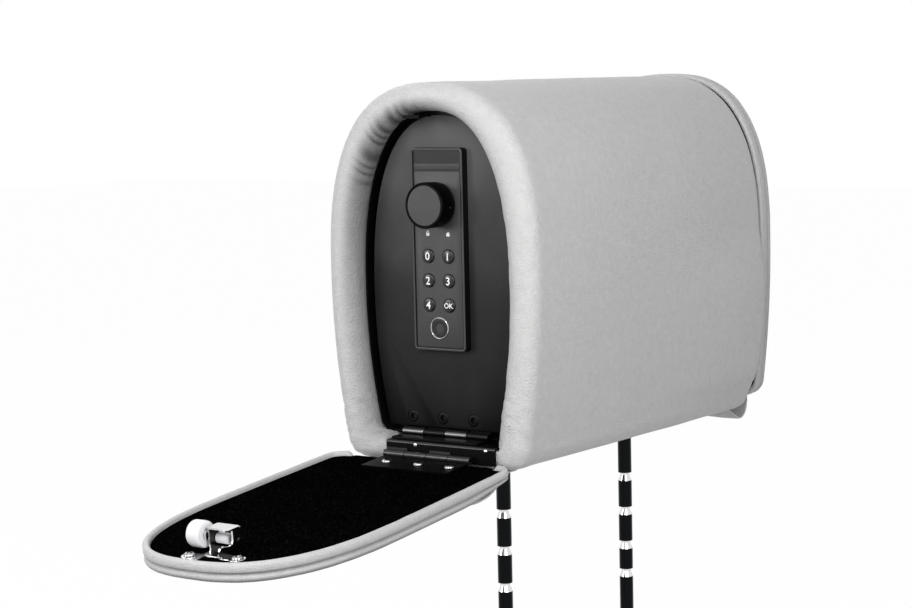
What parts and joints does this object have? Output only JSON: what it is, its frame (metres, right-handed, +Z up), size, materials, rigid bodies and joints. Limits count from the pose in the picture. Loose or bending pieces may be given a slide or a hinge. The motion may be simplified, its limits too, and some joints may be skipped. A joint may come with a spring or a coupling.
{
  "type": "portable car safe",
  "caption": "Padded headrest-shaped safe on two notched posts, with a hinged steel door, an electronic keypad lock and a fold-down leather cover at each end.",
  "frame": {"origin": "midway between the two posts, at the level where they enter the seat back", "axes": "+Z up along the posts, X along the safe from the door end (-X) to the far end (+X), -Y to the long side that faces the viewer"},
  "size_m": [0.5719, 0.166, 0.418],
  "materials": {
    "leather": "grey grained artificial leather, low sheen",
    "foam": "matt padding foam",
    "black_steel": "satin black paint on sheet steel",
    "door_paint": "satin dark grey paint",
    "felt": "matt black felt",
    "cover_board": "matt black board",
    "chrome": "bright plated steel",
    "dark_chrome": "dark polished plating",
    "nylon": "white nylon",
    "lock_plastic": "satin dark grey moulding",
    "knob_metal": "satin dark anodised",
    "key_rubber": "black key cap with white legend",
    "board": "green circuit board",
    "battery": "metal jacket"
  },
  "bodies": {
    "body": {"leather_cover": "leather", "foam_core": "foam", "safe_shell": "black_steel", "door_frame": "black_steel", "back_plate": "black_steel", "near_sill": "black_steel", "far_sill": "black_steel", "base_plate": "black_steel", "frame_hinge_leaf": "black_steel", "door_hinge_pin": "dark_chrome", "near_body_leaf": "black_steel", "far_body_leaf": "black_steel", "near_strike_plate": "black_steel", "near_hinge_flap": "leather", "far_hinge_flap": "leather"},
    "door": {"safe_door": "door_paint", "door_screw_1": "black_steel", "door_screw_2": "black_steel", "door_screw_3": "black_steel", "door_hinge_leaf": "black_steel", "lock_case": "lock_plastic", "lock_housing": "lock_plastic", "battery": "battery", "circuit_board": "board", "fingerprint_ring": "chrome", "fingerprint_sensor": "lock_plastic"},
    "knob_and_crank": {"knob": "knob_metal", "spindle_crank": "dark_chrome"},
    "bolt": {"lock_bolt": "chrome"},
    "port_cover": {"port_cover": "lock_plastic"},
    "near_cover": {"near_cover_leather": "leather", "near_cover_felt": "felt", "near_cover_panel": "cover_board", "near_cover_leaf": "black_steel", "near_hinge_pin": "dark_chrome", "near_leaf_screw_1": "chrome", "near_leaf_screw_2": "chrome", "near_leaf_screw_3": "chrome", "near_catch_bracket": "chrome", "near_catch_screw_1": "chrome", "near_catch_screw_2": "chrome"},
    "near_arm": {"near_catch_arm": "chrome", "near_catch_sleeve": "nylon"},
    "near_roller": {"near_catch_roller": "nylon"},
    "far_cover": {"far_cover_leather": "leather", "far_cover_felt": "felt", "far_cover_panel": "cover_board", "far_cover_leaf": "black_steel", "far_hinge_pin": "dark_chrome", "far_catch_bracket": "chrome"},
    "far_arm": {"far_catch_arm": "chrome"},
    "far_roller": {"far_catch_roller": "nylon"},
    "left_post": {"left_post": "dark_chrome"},
    "right_post": {"right_post": "dark_chrome"},
    "key_0": {"key_0": "key_rubber"},
    "key_1": {"key_1": "key_rubber"},
    "key_2": {"key_2": "key_rubber"},
    "key_3": {"key_3": "key_rubber"},
    "key_4": {"key_4": "key_rubber"},
    "key_ok": {"key_ok": "key_rubber"}
  },
  "joints": [
    {"name": "near_cover_hinge", "type": "hinge", "parent": "body", "child": "near_cover", "pos_m": [-0.1605, 0.0048, 0.0661], "axis": [0, -1, 0], "range_deg": [-96.4, 0], "deforming": ["near_hinge_flap"]},
    {"name": "far_cover_hinge", "type": "hinge", "parent": "body", "child": "far_cover", "pos_m": [0.1605, 0.0072, 0.0661], "axis": [0, 1, 0], "range_deg": [0, 96.4], "deforming": ["far_hinge_flap"]},
    {"name": "door_hinge", "type": "hinge", "parent": "body", "child": "door", "pos_m": [-0.1385, 0.0048, 0.07785], "axis": [0, -1, 0], "range_deg": [0, 90]},
    {"name": "knob_turn", "type": "hinge", "parent": "door", "child": "knob_and_crank", "pos_m": [-0.1486, 0.006, 0.2288], "axis": [1, 0, 0], "range_deg": [-90, 0]},
    {"name": "bolt_slide", "type": "slide", "parent": "door", "child": "bolt", "axis": [0, 1, 0], "range_m": [0, 0.0099]},
    {"name": "port_cover_slide", "type": "slide", "parent": "door", "child": "port_cover", "axis": [-1, 0, 0], "range_m": [0, 0.004]},
    {"name": "near_arm_pivot", "type": "hinge", "parent": "near_cover", "child": "near_arm", "pos_m": [-0.36413, 0.015, 0.05008], "axis": [0, -1, 0], "range_deg": [0, 8], "stiffness_Nm_per_rad": 0.5, "springref_deg": -5.73},
    {"name": "near_roller_spin", "type": "hinge", "parent": "near_arm", "child": "near_roller", "pos_m": [-0.37021, 0.015, 0.05247], "axis": [0, 1, 0], "continuous": true},
    {"name": "far_arm_pivot", "type": "hinge", "parent": "far_cover", "child": "far_arm", "pos_m": [0.15372, -0.003, 0.27025], "axis": [0, 1, 0], "range_deg": [0, 8], "stiffness_Nm_per_rad": 0.5, "springref_deg": -5.73},
    {"name": "far_roller_spin", "type": "hinge", "parent": "far_arm", "child": "far_roller", "pos_m": [0.15067, -0.003, 0.27602], "axis": [0, 1, 0], "continuous": true},
    {"name": "left_post_slide", "type": "slide", "parent": "body", "child": "left_post", "axis": [1, 0, 0], "range_m": [-0.02, 0.02]},
    {"name": "right_post_slide", "type": "slide", "parent": "body", "child": "right_post", "axis": [1, 0, 0], "range_m": [-0.02, 0.02]},
    {"name": "key_0_press", "type": "slide", "parent": "door", "child": "key_0", "axis": [1, 0, 0], "range_m": [0, 0.0005], "stiffness_N_per_m": 400, "springref_m": -0.001},
    {"name": "key_1_press", "type": "slide", "parent": "door", "child": "key_1", "axis": [1, 0, 0], "range_m": [0, 0.0005], "stiffness_N_per_m": 400, "springref_m": -0.001},
    {"name": "key_2_press", "type": "slide", "parent": "door", "child": "key_2", "axis": [1, 0, 0], "range_m": [0, 0.0005], "stiffness_N_per_m": 400, "springref_m": -0.001},
    {"name": "key_3_press", "type": "slide", "parent": "door", "child": "key_3", "axis": [1, 0, 0], "range_m": [0, 0.0005], "stiffness_N_per_m": 400, "springref_m": -0.001},
    {"name": "key_4_press", "type": "slide", "parent": "door", "child": "key_4", "axis": [1, 0, 0], "range_m": [0, 0.0005], "stiffness_N_per_m": 400, "springref_m": -0.001},
    {"name": "key_ok_press", "type": "slide", "parent": "door", "child": "key_ok", "axis": [1, 0, 0], "range_m": [0, 0.0005], "stiffness_N_per_m": 400, "springref_m": -0.001}
  ],
  "couplings": [
    {"joint": "bolt_slide", "follows": "knob_turn", "m_per_rad": -0.0063025}
  ]
}
